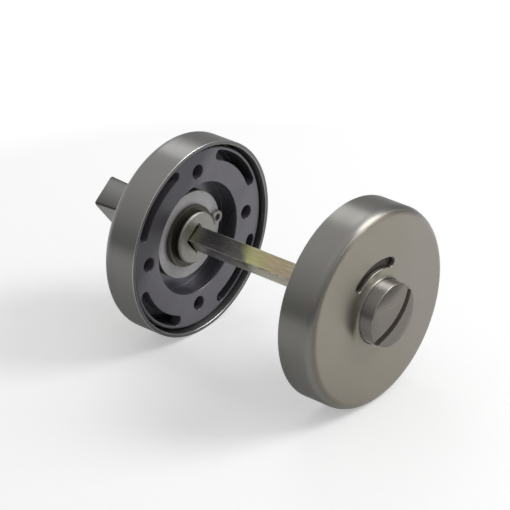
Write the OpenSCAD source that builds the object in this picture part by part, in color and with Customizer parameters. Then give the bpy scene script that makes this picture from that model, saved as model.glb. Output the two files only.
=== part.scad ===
// Privacy turn and release set for a bathroom door, on two round snap-on roses.
// The outside rose faces -Y and carries the coin release knob and the indicator window.
// The inside rose faces +Y and carries the thumb turn. A square spindle joins the two.
// Origin: on the spindle axis, in the bolting face of the outside base plate. +Z is up.
// Each rose is drawn in a frame of its own: z = 0 is the bolting face, +z leads into the room.

/* [Roses] */
// Outside diameter of both covers
rose_d = 53; // [50:0.5:60]
// Height of a cover from its rim to its flat face
rose_h = 10.5; // [10:0.1:14]
// Sheet thickness of the covers
cover_wall = 1.0; // [0.8:0.1:1.2]
// Outside radius of the rounded edge of the face
face_edge_r = 2.5; // [2:0.1:3.5]
// Height of the pressed collar above the face
collar_h = 0.6; // [0.3:0.1:1.2]
// Width of the collar from its hollow foot to its bore
collar_foot = 2.0; // [1.5:0.1:2.5]
// Free gap between the door-side rims of the two covers, which is the door's thickness
door_gap = 47; // [44:0.5:60]

/* [Indicator window] */
// Width of the arched window
window_w = 2.6; // [2:0.1:3.2]
// Angle between the centres of its two round ends
window_span = 61.5; // [40:0.5:66]
// Flat land between the collar's foot and the window
window_land = 0.5; // [0.3:0.1:1]
// How far the snapped-on cover is turned from upright, anticlockwise from outside
window_turn = 9.4; // [-15:0.1:15]

/* [Base plates] */
// How far the bolting face lies inside the cover's rim
plate_inset = 1.25; // [0.5:0.05:1.8]
// Radial gap between the plate's edge and the cover's wall
plate_gap = 0.8; // [0.6:0.05:1]
// Thickness of the flat web
plate_t = 3.0; // [2.6:0.1:3.4]
// Width of the upright flange round the plate's edge
flange_w = 1.3; // [1.2:0.1:1.6]
// Diameter of the straight-walled recess
cup_d = 30.4; // [29.6:0.1:30.8]
// Wall of the cup round the recess
cup_wall = 1.6; // [1.2:0.1:1.8]
// Thickness of the cup's floor, which carries the bush
floor_t = 1.7; // [1.4:0.1:2.2]
// Circle of the four fixing holes
bolt_pcd = 38; // [37.5:0.1:38.5]
// Diameter of the fixing holes
bolt_hole_d = 3.8; // [3.4:0.1:4]
// Width of the four arched fixing slots
arc_w = 2.7; // [2.4:0.1:3]
// Angle between the centres of a slot's round ends
arc_span = 45; // [36:1:50]
// Land between a slot and the plate's edge
arc_land = 1.0; // [0.9:0.1:1.1]

/* [Bearings and rings] */
// Diameter of both hubs where they run in the bushes
hub_d = 14; // [13.4:0.1:14.2]
// Radial running clearance of a hub in its bush
hub_clear = 0.05; // [0.03:0.01:0.08]
// Wall of a bush
bush_wall = 0.95; // [0.8:0.05:1.2]
// Diameter of a bush's flange
bush_flange_d = 19.2; // [18.6:0.1:20]
// Thickness of a bush's flange
bush_flange_t = 0.4; // [0.3:0.05:0.6]
// Outside diameter of the flat washers
washer_d = 23.7; // [22:0.1:24.4]
// Thickness of the flat washers
washer_t = 0.8; // [0.5:0.05:1]
// Free height that a wave washer takes up
wave_h = 1.1; // [0.9:0.05:1.3]
// Strip thickness of a wave washer
wave_t = 0.3; // [0.2:0.05:0.4]
// Thickness of the circlips
circlip_t = 1.0; // [0.8:0.05:1.2]
// Depth of the circlip groove in a hub
groove_depth = 0.3; // [0.2:0.05:0.5]
// Length of hub that stands past its circlip
hub_nose = 1.9; // [1.5:0.05:2.2]
// Angle of the inside circlip's gap, anticlockwise as seen from outside the door
circlip_turn = -10; // [-40:1:40]
// Wire diameter of the snap rings that hold the covers
snap_wire = 1.2; // [1:0.05:1.3]

/* [Spindle] */
// Across the flats of the square spindle
spindle_side = 5; // [4.8:0.1:5.2]
// Chamfer along its four edges
spindle_chamfer = 0.5; // [0.3:0.05:0.8]
// How much wider the square sockets are than the spindle
socket_clear = 0.4; // [0.3:0.05:0.5]
// Angle of the turn, the coin slot and the sockets at rest
rotor_turn = 38; // [0:1:90]
// Angle by which the spindle lags behind within its play
spindle_lag = 5; // [0:0.5:5]
// Depth of the knob's socket
knob_socket = 11; // [9:0.5:12]
// Length of spindle inside the knob's socket
knob_grip = 7; // [5:0.5:8]
// Depth of the turn's socket
turn_socket = 14; // [11:0.5:16]

/* [Release knob and indicator] */
// Diameter of the knob and of the turn's neck
knob_d = 16.8; // [16:0.1:18]
// Radial gap between the knob or the neck and the collar
neck_gap = 0.25; // [0.15:0.05:0.4]
// Height of the knob's rim above the face
knob_rise = 4.3; // [3:0.1:7]
// Height of the domed end above the rim
dome_h = 1.8; // [1:0.1:2.4]
// Width of the coin slot
coin_w = 1.9; // [1.2:0.1:2.4]
// Depth of the coin slot below the rim
coin_depth = 0.8; // [0.4:0.1:1.2]
// Thickness of the indicator disc
disc_t = 0.8; // [0.6:0.05:1]
// Play between the disc and the cover above it
disc_gap = 0.3; // [0.2:0.05:0.5]
// How far the disc reaches past the window's outer edge
disc_lap = 2.4; // [1.5:0.1:3]
// Depth of the two flats that key the disc to the knob
key_depth = 1.0; // [0.6:0.1:1.4]
// Thickness of the coloured marker let into the disc
marker_t = 0.3; // [0.2:0.05:0.4]
// Angle that the coloured marker covers
marker_span = 84; // [78:1:96]

/* [Thumb turn] */
// Height of the turn's neck above the face
neck_rise = 5.5; // [4.5:0.1:7]
// Long side of the wing
wing_l = 18.5; // [17:0.1:24]
// Height of the wing above the neck
wing_h = 13.5; // [10:0.1:18]
// Thickness of the wing at its outer end
wing_end_t = 8.8; // [7:0.1:9.5]
// Thickness of the wing at its waist
wing_waist_t = 8.0; // [5:0.1:8.4]
// Radius of the wing's two outer corners
wing_corner_r = 1.8; // [0.6:0.1:2.4]
// Diameter of the grub screw that holds the spindle in the turn
grub_d = 4; // [3:0.5:4.5]
// Length of the grub screw
grub_l = 5; // [4:0.1:5.4]

/* [Hidden] */
$fn = 96;

// Small overshoot of every cutting shape
cut = 1;
// Seating play between pieces that are fixed to each other
seat = 0.02;

// Heights in a rose's own frame, from the face of the cover down to the hub's end
rim_z = -plate_inset;
face_z = rose_h - plate_inset;
cover_in_z = face_z - cover_wall;
disc_z = cover_in_z - disc_gap - disc_t;
floor_top_z = disc_z - bush_flange_t;
floor_z = floor_top_z - floor_t;
wave_z = floor_z - wave_h;
washer_z = wave_z - washer_t;
circlip_z = washer_z - circlip_t;
hub_end_z = circlip_z - hub_nose;
lip_z = face_z + collar_h;

// Radii
rose_r = rose_d / 2;
cover_in_r = rose_r - cover_wall;
plate_r = cover_in_r - plate_gap;
hub_r = hub_d / 2;
groove_r = hub_r - groove_depth;
bush_in_r = hub_r + hub_clear;
bush_out_r = bush_in_r + bush_wall;
knob_r = knob_d / 2;
collar_r = knob_r + neck_gap;
foot_r = collar_r + collar_foot;
window_r = foot_r + window_land + window_w / 2;
disc_r = window_r + window_w / 2 + disc_lap;
arc_r = plate_r - arc_land - arc_w / 2;

// The snap ring's wire lies half in the plate's flange and half in a shallow bead of the cover
bead_depth = 0.2;
snap_r = cover_in_r + bead_depth - 0.1 - snap_wire / 2;
snap_z = (floor_top_z + plate_t) / 2;
snap_gap_deg = 24;
snap_groove_play = 0.1;

// Circlip ears
ear_reach = 3.2;
ear_r = hub_r + ear_reach;
ear_boss_d = 3.6;
ear_hole_d = 1.7;
ear_half_angle = 17.5;
gap_half_angle = 9;
circlip_band = 1.7;
circlip_shift = 0.4;

// Square socket and spindle
socket_side = spindle_side + socket_clear;
lead_in = 0.35;
socket_rest = 0.5;
inside_y = door_gap + 2 * plate_inset;
spindle_from = -(hub_end_z + knob_grip);
spindle_to = inside_y + hub_end_z + turn_socket - socket_rest;

// Knob, neck and wing
knob_rim_z = face_z + knob_rise;
neck_z = face_z + neck_rise;
wing_z = neck_z + wing_h;
dome_r = (knob_r * knob_r + dome_h * dome_h) / (2 * dome_h);
neck_edge = 0.6;
grub_sunk = 0.4;
grub_z = neck_z - neck_edge - grub_d / 2 - 0.2;
hex_key = 2;
hex_depth = 2.2;

// Places a shape drawn in a rose's own frame
module outside() rotate([90, 0, 0]) children();
module inside() translate([0, inside_y, 0]) rotate([90, 0, 180]) children();

// The turn's angle, seen in the inside rose's own frame
inside_turn = 180 - rotor_turn;

// Points of a round stretch, from angle a0 to a1, in n steps
function arc(cx, cy, r, a0, a1, n) =
    [for (i = [0 : n]) let (a = a0 + (a1 - a0) * i / n) [cx + r * cos(a), cy + r * sin(a)]];

// Points up the hollow sweep of the collar, from the flat face to its thin lip
collar_steps = 10;
lip_w = 0.3;
function collar_slope() =
    [for (i = [0 : collar_steps]) let (a = 90 * i / collar_steps)
        [foot_r - (collar_foot - lip_w) * sin(a), face_z + collar_h * (1 - cos(a))]];

// Half section of a cover: outer skin up from the rim, over the collar, and back down inside
function cover_section() = concat(
    [[rose_r, rim_z]],
    arc(rose_r - face_edge_r, face_z - face_edge_r, face_edge_r, 0, 90, 10),
    collar_slope(),
    [[collar_r, lip_z]],
    arc(collar_r + cover_wall, face_z, cover_wall, 180, 270, 6),
    arc(rose_r - face_edge_r, face_z - face_edge_r, face_edge_r - cover_wall, 90, 0, 8),
    [[cover_in_r, snap_z + snap_wire / 2], [cover_in_r + bead_depth, snap_z + snap_wire / 4],
     [cover_in_r + bead_depth, snap_z - snap_wire / 4], [cover_in_r, snap_z - snap_wire / 2],
     [cover_in_r, rim_z]]);

module cover_shell() rotate_extrude($fn = 144) polygon(cover_section());

// An arched slot with round ends, centred on the angle mid
module arched_slot(radius, width, span, mid, z0, height) {
    translate([0, 0, z0]) {
        rotate([0, 0, mid - span / 2])
            rotate_extrude(angle = span, $fn = 144)
                translate([radius - width / 2, 0]) square([width, height]);
        for (side = [-1, 1])
            rotate([0, 0, mid + side * span / 2])
                translate([radius, 0, 0]) cylinder(h = height, d = width, $fn = 32);
    }
}

module ring(r_out, r_in, z0, z1) {
    translate([0, 0, z0]) difference() {
        cylinder(h = z1 - z0, r = r_out);
        translate([0, 0, -cut]) cylinder(h = z1 - z0 + 2 * cut, r = r_in);
    }
}

// Half section of a base plate: web, recess, cup floor with its bore, edge flange
function plate_section() = [
    [cup_d / 2, 0], [plate_r, 0],
    [plate_r, snap_z - snap_wire / 2 - snap_groove_play],
    [snap_r - snap_wire / 2 - snap_groove_play, snap_z - snap_wire / 2 - snap_groove_play],
    [snap_r - snap_wire / 2 - snap_groove_play, snap_z + snap_wire / 2 + snap_groove_play],
    [plate_r, snap_z + snap_wire / 2 + snap_groove_play],
    [plate_r, cover_in_z - (face_edge_r - cover_wall) / 2],
    [rose_r - face_edge_r, cover_in_z], [plate_r - flange_w, cover_in_z],
    [plate_r - flange_w, plate_t], [cup_d / 2 + cup_wall, plate_t],
    [cup_d / 2 + cup_wall, floor_top_z], [bush_out_r + seat, floor_top_z],
    [bush_out_r + seat, floor_z], [cup_d / 2, floor_z]];

module base_plate() {
    difference() {
        rotate_extrude($fn = 144) polygon(plate_section());
        for (k = [0 : 3]) {
            rotate([0, 0, 90 * k]) translate([bolt_pcd / 2, 0, -cut])
                cylinder(h = plate_t + 2 * cut, d = bolt_hole_d, $fn = 48);
            arched_slot(arc_r, arc_w, arc_span, 45 + 90 * k, -cut, cover_in_z - 2);
        }
    }
}

// Split wire ring that springs out into the cover's bead
module snap_ring(turn) {
    translate([0, 0, snap_z]) rotate([0, 0, turn + snap_gap_deg / 2])
        rotate_extrude(angle = 360 - snap_gap_deg, $fn = 144)
            translate([snap_r, 0]) circle(d = snap_wire, $fn = 16);
}

// Flanged bush, pushed into the cup's floor from the cover's side
module bush() {
    ring(bush_out_r, bush_in_r, floor_z, disc_z);
    ring(bush_flange_d / 2, bush_out_r - seat, floor_top_z, disc_z);
}

// Wavy spring strip with three crests, between the cup's floor and the flat washer
waves = 3;
wave_steps = 48;
wave_play = 0.04;
wave_r_in = hub_r + 0.6;
wave_r_out = washer_d / 2 - 1.2;
function wave_mid(a) =
    wave_z + wave_h / 2 + (wave_h / 2 - wave_t / 2 - wave_play) * cos(waves * a);

module wave_washer() {
    points = [for (i = [0 : wave_steps - 1]) let (a = 360 * i / wave_steps, m = wave_mid(a))
        each [for (c = [[wave_r_in, -1], [wave_r_out, -1], [wave_r_out, 1], [wave_r_in, 1]])
            [c[0] * cos(a), c[0] * sin(a), m + c[1] * wave_t / 2]]];
    faces = [for (i = [0 : wave_steps - 1], k = [0 : 3])
        let (j = (i + 1) % wave_steps, m = (k + 1) % 4)
        each [[4 * i + k, 4 * i + m, 4 * j + m], [4 * i + k, 4 * j + m, 4 * j + k]]];
    polyhedron(points, faces);
}

module flat_washer() ring(washer_d / 2, hub_r + 2 * hub_clear, washer_z, wave_z);

// Spring ring with two plier ears; its gap lies at the angle turn
module circlip(turn) {
    inner_r = groove_r + seat;
    rotate([0, 0, turn]) translate([0, 0, circlip_z]) linear_extrude(circlip_t) difference() {
        union() {
            translate([-circlip_shift, 0]) circle(r = inner_r + circlip_band);
            for (side = [-1, 1]) rotate(side * ear_half_angle) {
                translate([ear_r, 0]) circle(d = ear_boss_d, $fn = 32);
                translate([hub_r, -ear_boss_d / 2]) square([ear_r - hub_r, ear_boss_d]);
            }
        }
        circle(r = inner_r);
        polygon([[0, 0], for (side = [-1, 1])
            2 * ear_r * [cos(gap_half_angle), side * sin(gap_half_angle)]]);
        for (side = [-1, 1]) rotate(side * ear_half_angle)
            translate([ear_r, 0]) circle(d = ear_hole_d, $fn = 24);
    }
}

// Square prism with a tapered mouth at z0, for the spindle's sockets
module square_socket(z0, depth, turn) {
    half = socket_side / 2;
    wide = half + lead_in + cut;
    taper = [[-wide, -cut], [wide, -cut], [half, lead_in], [-half, lead_in]];
    rotate([0, 0, turn]) translate([0, 0, z0]) {
        translate([-half, -half, -cut]) cube([socket_side, socket_side, depth + cut]);
        intersection() {
            rotate([90, 0, 0]) translate([0, 0, -2 * wide]) linear_extrude(4 * wide) polygon(taper);
            rotate([90, 0, 90]) translate([0, 0, -2 * wide]) linear_extrude(4 * wide) polygon(taper);
        }
    }
}

// Half section of a hub up to the height top, with its nose chamfer and circlip groove
nose_chamfer = 0.4;
groove_play = 0.05;
function hub_section(top) = [
    [0, hub_end_z], [hub_r - nose_chamfer, hub_end_z], [hub_r, hub_end_z + nose_chamfer],
    [hub_r, circlip_z - groove_play], [groove_r, circlip_z - groove_play],
    [groove_r, circlip_z + circlip_t + groove_play], [hub_r, circlip_z + circlip_t + groove_play],
    [hub_r, top]];

module release_knob() color("silver") outside() difference() {
    rotate_extrude() polygon(concat(
        hub_section(disc_z + disc_t),
        [[knob_r, disc_z + disc_t]],
        arc(0, knob_rim_z + dome_h - dome_r, dome_r, asin((dome_r - dome_h) / dome_r), 90, 12)));
    for (side = [-1, 1]) rotate([0, 0, rotor_turn]) translate([0, 0, disc_z])
        translate([side * (hub_r - key_depth / 2 + cut), 0, disc_t / 2])
            cube([key_depth + 2 * cut, hub_d, disc_t], center = true);
    rotate([0, 0, rotor_turn]) translate([-knob_r - cut, -coin_w / 2, knob_rim_z - coin_depth])
        cube([knob_d + 2 * cut, coin_w, dome_h + coin_depth + cut]);
    square_socket(hub_end_z, knob_socket, rotor_turn);
}

// The marker lies a quarter turn back from the window, so that locking brings it there
marker_mid = 90 + window_turn + 90;
marker_in_r = window_r - window_w / 2 - window_land;
marker_out_r = window_r + window_w / 2 + disc_lap / 2;

module marker_shape(grow) {
    rotate([0, 0, marker_mid - marker_span / 2 - grow])
        rotate_extrude(angle = marker_span + 2 * grow, $fn = 144)
            translate([marker_in_r - grow, 0])
                square([marker_out_r - marker_in_r + 2 * grow, marker_t + grow * cut / seat]);
}

module indicator_disc() color([0.13, 0.11, 0.1]) outside() difference() {
    translate([0, 0, disc_z]) cylinder(h = disc_t, r = disc_r);
    rotate([0, 0, rotor_turn]) translate([0, 0, disc_z - cut]) intersection() {
        cylinder(h = disc_t + 2 * cut, r = hub_r + seat);
        translate([-hub_r + key_depth - seat, -hub_d, 0])
            cube([hub_d - 2 * key_depth + 2 * seat, 2 * hub_d, disc_t + 2 * cut]);
    }
    translate([0, 0, disc_z + disc_t - marker_t]) marker_shape(seat);
}

module locked_marker() color("firebrick") outside()
    translate([0, 0, disc_z + disc_t - marker_t]) marker_shape(0);

module spindle() color([0.72, 0.66, 0.34]) {
    half = spindle_side / 2;
    rotate([90, 0, 180]) rotate([0, 0, 180 - rotor_turn + spindle_lag])
        translate([0, 0, spindle_from]) linear_extrude(spindle_to - spindle_from)
            polygon([for (q = [0 : 3], c = [0, 1]) let (a = 90 * q,
                x = half - c * spindle_chamfer, y = half - (1 - c) * spindle_chamfer)
                [x * cos(a) - y * sin(a), x * sin(a) + y * cos(a)]]);
}

// Thickness of the wing at a share t of its height, narrowest a third of the way up
waist_at = 0.3;
root_flare = 0.5;
function wing_half_t(t) = t < waist_at
    ? wing_waist_t / 2 + root_flare * pow(1 - t / waist_at, 2)
    : wing_waist_t / 2 + (wing_end_t - wing_waist_t) / 2 * pow((t - waist_at) / (1 - waist_at), 1.6);

wing_steps = 14;
wing_root = 1;

// The wing: its waisted side view, cut to its front view with rounded outer corners
module wing() {
    right = [for (i = [1 : wing_steps]) let (t = i / wing_steps)
        [wing_half_t(t), neck_z + t * wing_h]];
    left = [for (i = [wing_steps - 1 : -1 : 0]) [-right[i][0], right[i][1]]];
    root = [[-wing_half_t(0), neck_z - wing_root], [wing_half_t(0), neck_z - wing_root]];
    r = wing_corner_r;
    intersection() {
        rotate([90, 0, 90]) translate([0, 0, -wing_l]) linear_extrude(2 * wing_l)
            polygon(concat(root, right, left));
        rotate([90, 0, 0]) translate([0, 0, -wing_end_t]) linear_extrude(2 * wing_end_t)
            polygon(concat(
                [[-wing_l / 2, neck_z - wing_root], [wing_l / 2, neck_z - wing_root]],
                arc(wing_l / 2 - r, wing_z - r, r, 0, 90, 6),
                arc(r - wing_l / 2, wing_z - r, r, 90, 180, 6)));
    }
}

// Places a shape on the grub screw's axis, which leads out under a broad side of the wing
module on_grub_axis(r) {
    rotate([0, 0, inside_turn + 180]) translate([0, 0, grub_z]) rotate([0, 90, 0])
        translate([0, 0, r]) children();
}

// The screw bears on the spindle's flat, which its play in the socket leaves a little turned
grub_from = (spindle_side / 2 + grub_d / 2 * sin(abs(spindle_lag))) / cos(spindle_lag) + seat;
grub_to = min(grub_from + grub_l, knob_r - grub_sunk);

module thumb_turn() color("silver") inside() difference() {
    union() {
        rotate_extrude() polygon(concat(
            hub_section(disc_z),
            [[knob_r, disc_z], [knob_r, neck_z - neck_edge], [knob_r - neck_edge, neck_z],
             [0, neck_z]]));
        rotate([0, 0, inside_turn + 90]) wing();
    }
    square_socket(hub_end_z, turn_socket, inside_turn);
    on_grub_axis(socket_side / 2 - cut)
        cylinder(h = knob_r - socket_side / 2 + 2 * cut, d = grub_d + seat, $fn = 48);
}

module grub_screw() color([0.2, 0.2, 0.2]) inside() difference() {
    on_grub_axis(grub_from) cylinder(h = grub_to - grub_from, d = grub_d - seat, $fn = 48);
    on_grub_axis(grub_to - hex_depth)
        cylinder(h = hex_depth + cut, d = hex_key / cos(30), $fn = 6);
}

module outside_cover() color("silver") outside() difference() {
    cover_shell();
    arched_slot(window_r, window_w, window_span, 90 + window_turn, cover_in_z - cut,
                cover_wall + 2 * cut);
}
module inside_cover() color("silver") inside() cover_shell();
module outside_base_plate() color("dimgray") outside() base_plate();
module inside_base_plate() color("dimgray") inside() base_plate();
module outside_snap_ring() color("gray") outside() snap_ring(-90);
module inside_snap_ring() color("gray") inside() snap_ring(-90);
module outside_bush() color("white") outside() bush();
module inside_bush() color("white") inside() bush();
module outside_wave_washer() color("gray") outside() wave_washer();
module inside_wave_washer() color("gray") inside() wave_washer();
module outside_washer() color("darkgray") outside() flat_washer();
module inside_washer() color("darkgray") inside() flat_washer();
module outside_circlip() color([0.25, 0.24, 0.22]) outside() circlip(circlip_turn);
module inside_circlip() color([0.25, 0.24, 0.22]) inside() circlip(180 - circlip_turn);

outside_cover();
outside_base_plate();
outside_snap_ring();
outside_bush();
outside_wave_washer();
outside_washer();
outside_circlip();
release_knob();
indicator_disc();
locked_marker();
spindle();
inside_cover();
inside_base_plate();
inside_snap_ring();
inside_bush();
inside_wave_washer();
inside_washer();
inside_circlip();
thumb_turn();
grub_screw();
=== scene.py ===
import math

import bmesh
import bpy
from mathutils import Matrix, Vector


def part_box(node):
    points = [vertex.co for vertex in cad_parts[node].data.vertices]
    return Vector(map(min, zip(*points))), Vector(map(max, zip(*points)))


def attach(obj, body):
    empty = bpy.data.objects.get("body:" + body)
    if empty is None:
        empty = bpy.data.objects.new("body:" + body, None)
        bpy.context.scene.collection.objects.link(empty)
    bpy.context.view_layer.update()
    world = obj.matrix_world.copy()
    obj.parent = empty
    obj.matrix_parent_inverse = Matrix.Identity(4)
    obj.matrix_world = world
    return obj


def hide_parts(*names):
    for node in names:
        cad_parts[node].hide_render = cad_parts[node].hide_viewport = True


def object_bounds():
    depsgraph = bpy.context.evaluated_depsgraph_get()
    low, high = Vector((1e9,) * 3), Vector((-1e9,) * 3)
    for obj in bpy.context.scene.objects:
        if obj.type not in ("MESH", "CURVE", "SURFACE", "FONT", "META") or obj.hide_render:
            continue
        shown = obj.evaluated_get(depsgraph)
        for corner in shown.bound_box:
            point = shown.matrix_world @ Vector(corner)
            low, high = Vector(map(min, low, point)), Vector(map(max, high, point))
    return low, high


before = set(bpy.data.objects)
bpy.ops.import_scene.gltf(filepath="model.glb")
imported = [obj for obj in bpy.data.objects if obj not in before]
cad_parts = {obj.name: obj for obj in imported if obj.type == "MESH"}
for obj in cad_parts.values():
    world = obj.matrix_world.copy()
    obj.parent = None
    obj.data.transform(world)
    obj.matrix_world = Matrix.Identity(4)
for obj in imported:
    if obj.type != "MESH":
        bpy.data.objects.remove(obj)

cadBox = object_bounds()
mm = 0.001
hair = 0.02     # millimetres by which tests of faces and edges may be off


# Sizes in millimetres that several pieces share, read from the frame where it gives them

def heights(cadNode):
    low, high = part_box(cadNode)     # height counts from the bolting face towards the room
    return -high.y / mm, -low.y / mm


rimHeight, lipHeight = heights("outside_cover")
hubEnd, domeTop = heights("release_knob")
clipLow, clipHigh = heights("outside_circlip")
washerLow, washerHigh = heights("outside_washer")
discLow, discHigh = heights("indicator_disc")
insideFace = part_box("inside_base_plate")[0].y / mm     # the inside rose's bolting face
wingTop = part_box("thumb_turn")[1].y / mm - insideFace
coverLow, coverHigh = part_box("outside_cover")

rose = {
    "radius": (coverHigh.x - coverLow.x) / 2 / mm,
    "coverWall": 1.0,
    "edgeRadius": 2.5,
    "collarHeight": 0.6,
    "collarBore": 8.58,
    "collarFoot": 10.65,
    "knobRadius": 8.4,
    "hubRadius": 7.0,
    "grooveRadius": 6.7,
    "rotorTurn": 38,       # the coin slot's angle at rest, in degrees
    "spindleTurn": 33,     # the bar lags a little in its sockets
    "socket": 5.4,
    "windowTurn": 9.4,     # the cover's turn on its plate
}
faceHeight = lipHeight - rose["collarHeight"]
coverInside = rose["radius"] - rose["coverWall"]
print("frame loaded, rose radius", round(rose["radius"], 2))


# Modelling helpers

def penLine(name, points):
    # a line of edges through the points, drawn by one extrusion after the other
    bpy.ops.object.select_all(action="DESELECT")
    bpy.ops.mesh.primitive_plane_add(size=mm)
    piece = bpy.context.object
    piece.name = piece.data.name = name
    bpy.ops.object.mode_set(mode="EDIT")
    bpy.ops.mesh.select_mode(type="VERT")
    bpy.ops.mesh.select_all(action="SELECT")
    bpy.ops.mesh.merge(type="CENTER")
    bpy.ops.transform.translate(value=Vector(points[0]) * mm)
    for here, there in zip(points, points[1:]):
        step = (Vector(there) - Vector(here)) * mm
        bpy.ops.mesh.extrude_vertices_move(TRANSFORM_OT_translate={"value": step})
    return piece


def takeUp(piece):
    bpy.ops.object.select_all(action="DESELECT")
    piece.select_set(True)
    bpy.context.view_layer.objects.active = piece
    return piece


def openUp(piece):
    takeUp(piece)
    bpy.ops.object.mode_set(mode="EDIT")


def tidyMesh():
    bpy.ops.mesh.select_all(action="SELECT")
    bpy.ops.mesh.remove_doubles(threshold=0.001 * mm)
    bpy.ops.mesh.normals_make_consistent(inside=False)


def closeUp():
    tidyMesh()
    bpy.ops.object.mode_set(mode="OBJECT")


def eased(corners, closed=True):
    # corners are (across, up, rounding); each rounding becomes a short arc
    points = []
    for i, (across, up, rounding) in enumerate(corners):
        here = Vector((across, up))
        atEnd = not closed and i in (0, len(corners) - 1)
        if rounding == 0 or atEnd:
            points.append(here)
            continue
        back = (Vector(corners[i - 1][:2]) - here).normalized()
        ahead = (Vector(corners[(i + 1) % len(corners)][:2]) - here).normalized()
        half = back.angle(ahead) / 2
        centre = here + (back + ahead).normalized() * rounding / math.sin(half)
        first = here + back * rounding / math.tan(half) - centre
        last = here + ahead * rounding / math.tan(half) - centre
        sweep = first.angle(last)
        count = max(3, round(6 * math.sqrt(rounding)))
        for k in range(count + 1):
            share = k / count
            spread = math.sin((1 - share) * sweep) * first + math.sin(share * sweep) * last
            points.append(centre + spread / math.sin(sweep))
    return points + points[:1] if closed else points


def lathe(name, outline, steps):
    # the half outline, as radius and height, goes once round the axis
    piece = penLine(name, [(p[0], 0, p[1]) for p in outline])
    bpy.ops.mesh.select_all(action="SELECT")
    bpy.ops.mesh.spin(steps=steps, angle=2 * math.pi, center=(0, 0, 0), axis=(0, 0, 1))
    closeUp()
    return piece


def slab(name, outline, low, high, place=lambda a, b, c: (a, b, c)):
    # a flat outline, filled and pulled out between two heights
    piece = penLine(name, [place(p[0], p[1], low) for p in outline])
    tidyMesh()
    bpy.ops.mesh.edge_face_add()
    pull = Vector(place(0, 0, high)) - Vector(place(0, 0, low))
    bpy.ops.mesh.extrude_region_move(TRANSFORM_OT_translate={"value": pull * mm})
    closeUp()
    return piece


def settle():
    # the piece stays where it is, with its own origin at the world's
    bpy.ops.object.transform_apply(location=True, rotation=True, scale=True)
    return bpy.context.object


def turnBy(piece, degrees):
    takeUp(piece).rotation_euler.z = math.radians(degrees)
    return settle()


def merge(piece, tool, operation="DIFFERENCE"):
    step = takeUp(piece).modifiers.new("shape", "BOOLEAN")
    step.operation = operation
    step.solver = "EXACT"
    step.object = tool
    bpy.ops.object.modifier_apply(modifier=step.name)
    bpy.data.objects.remove(tool)


def choose(kind, test):
    bpy.ops.mesh.select_mode(type=kind)
    bpy.ops.mesh.select_all(action="DESELECT")
    shape = bmesh.from_edit_mesh(bpy.context.edit_object.data)
    for part in shape.edges if kind == "EDGE" else shape.faces:
        if test(part):
            part.select_set(True)
    bmesh.update_edit_mesh(bpy.context.edit_object.data)


def isSharp(edge, degrees):
    return len(edge.link_faces) == 2 and edge.calc_face_angle() > math.radians(degrees)


def liesAt(edge, height):
    return all(abs(v.co.z / mm - height) < hair for v in edge.verts)


def reachOf(point):
    return math.hypot(point.x, point.y) / mm      # from the axis


def middleOf(edge):
    return sum((v.co for v in edge.verts), Vector()) / 2


def breakEdges(piece, test, width, segments=2):
    openUp(piece)
    choose("EDGE", test)
    bpy.ops.mesh.bevel(offset=width * mm, segments=segments, affect="EDGES", clamp_overlap=False)
    closeUp()


def joinFlats(piece):
    # strips that lie in one plane become one face, so that an edge can be broken cleanly
    openUp(piece)
    bpy.ops.mesh.select_all(action="SELECT")
    bpy.ops.mesh.dissolve_limited(angle_limit=math.radians(0.2))
    bpy.ops.object.mode_set(mode="OBJECT")


def smoothOff(piece, degrees=32):
    takeUp(piece)
    bpy.ops.object.shade_smooth_by_angle(angle=math.radians(degrees))
    step = piece.modifiers.new("even", "WEIGHTED_NORMAL")
    step.keep_sharp = True
    bpy.ops.object.modifier_apply(modifier=step.name)
    return piece


def copyOf(piece, name):
    twin = piece.copy()
    twin.data = piece.data.copy()
    twin.name = twin.data.name = name
    bpy.context.collection.objects.link(twin)
    return twin


def paint(piece, names, pick):
    # gives every face the finish whose number among the names pick returns
    piece.data.materials.clear()
    for name in names:
        piece.data.materials.append(finishes[name])
    for face in piece.data.polygons:
        face.material_index = int(pick(face))


def fit(piece, side, body, slotName, *cadNodes):
    # stands a piece made lying on its back up on its rose, and hands it to its body
    takeUp(piece)
    piece.rotation_euler = (math.pi / 2, 0, math.pi if side == "inside" else 0)
    piece.location.y = insideFace * mm if side == "inside" else 0
    settle()
    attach(piece, body)
    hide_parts(*cadNodes)


def spoke(angle):
    return Vector((math.cos(angle), math.sin(angle)))


def roundSlot(radius, width, span, middle, steps=28):
    # the outline of a slot that follows a circle and has round ends
    points = []
    first, last = math.radians(middle - span / 2), math.radians(middle + span / 2)

    def cap(angle, start):
        for k in range(1, 12):
            a = angle + start + math.pi * k / 12
            points.append(spoke(angle) * radius + spoke(a) * width / 2)

    for k in range(steps + 1):
        points.append(spoke(first + (last - first) * k / steps) * (radius + width / 2))
    cap(last, 0)
    for k in range(steps + 1):
        points.append(spoke(last + (first - last) * k / steps) * (radius - width / 2))
    cap(first, math.pi)
    return points + points[:1]


def block(name, size, centre):
    # a cutting block, its edges in the axes' directions
    bpy.ops.object.select_all(action="DESELECT")
    bpy.ops.mesh.primitive_cube_add(size=1, location=Vector(centre) * mm, scale=Vector(size) * mm)
    bpy.context.object.name = name
    return settle()


# Material helpers

def newFinish(name, metallic=0.0, roughness=0.5):
    finish = bpy.data.materials.new(name)
    finish.use_nodes = True
    shader = finish.node_tree.nodes["Principled BSDF"]
    shader.inputs["Metallic"].default_value = metallic
    shader.inputs["Roughness"].default_value = roughness
    return finish, finish.node_tree, shader


def put(tree, kind, inputs=None, **settings):
    made = tree.nodes.new(kind)
    for key, value in settings.items():
        setattr(made, key, value)
    for key, value in (inputs or {}).items():
        if isinstance(value, bpy.types.NodeSocket):
            tree.links.new(value, made.inputs[key])
        else:
            made.inputs[key].default_value = value
    return made


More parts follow.
